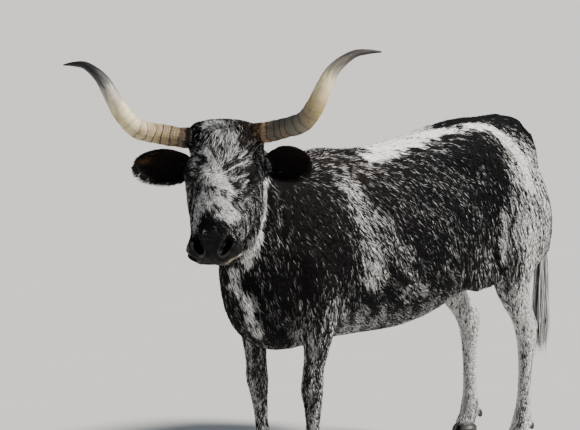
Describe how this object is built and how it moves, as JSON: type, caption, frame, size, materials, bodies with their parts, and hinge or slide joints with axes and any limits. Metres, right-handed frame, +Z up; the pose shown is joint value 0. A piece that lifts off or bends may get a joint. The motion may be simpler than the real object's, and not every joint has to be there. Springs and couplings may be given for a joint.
{
  "type": "texas longhorn cow",
  "caption": "Life-size standing longhorn cow in a black and white roan coat, her head turned to her left and long horns swept out and up, as a still model.",
  "frame": {"origin": "on the floor, under the middle of the whole model's box", "axes": "+Z up; she faces -X, her left side faces -Y"},
  "size_m": [2.1664, 0.945, 1.6424],
  "materials": {
    "hair": "short black and white roan hair, slightly glossy where it lies flat",
    "horn": "ringed tan and grey bases, ivory middles with a long grain, grey-black tips",
    "hoof": "dark horn with growth rings, worn and dusty at the lower edge",
    "eye": "wet, dark brown with a long dark pupil"
  },
  "bodies": {
    "root": {"horn_left": "horn", "ear_left": "hair", "eye_left": "eye", "horn_right": "horn", "ear_right": "hair", "eye_right": "eye", "head": "hair", "neck": "hair", "tail_switch": "hair", "tail": "hair", "torso": "hair", "foreleg_left_upper": "hair", "foreleg_left_lower": "hair", "hoof_fore_left_inner": "hoof", "hoof_fore_left_outer": "hoof", "foreleg_right_upper": "hair", "foreleg_right_lower": "hair", "hoof_fore_right_inner": "hoof", "hoof_fore_right_outer": "hoof", "hindleg_left_upper": "hair", "hindleg_left_lower": "hair", "hoof_hind_left_inner": "hoof", "hoof_hind_left_outer": "hoof", "hindleg_right_upper": "hair", "hindleg_right_lower": "hair", "hoof_hind_right_inner": "hoof", "hoof_hind_right_outer": "hoof"}
  },
  "joints": []
}
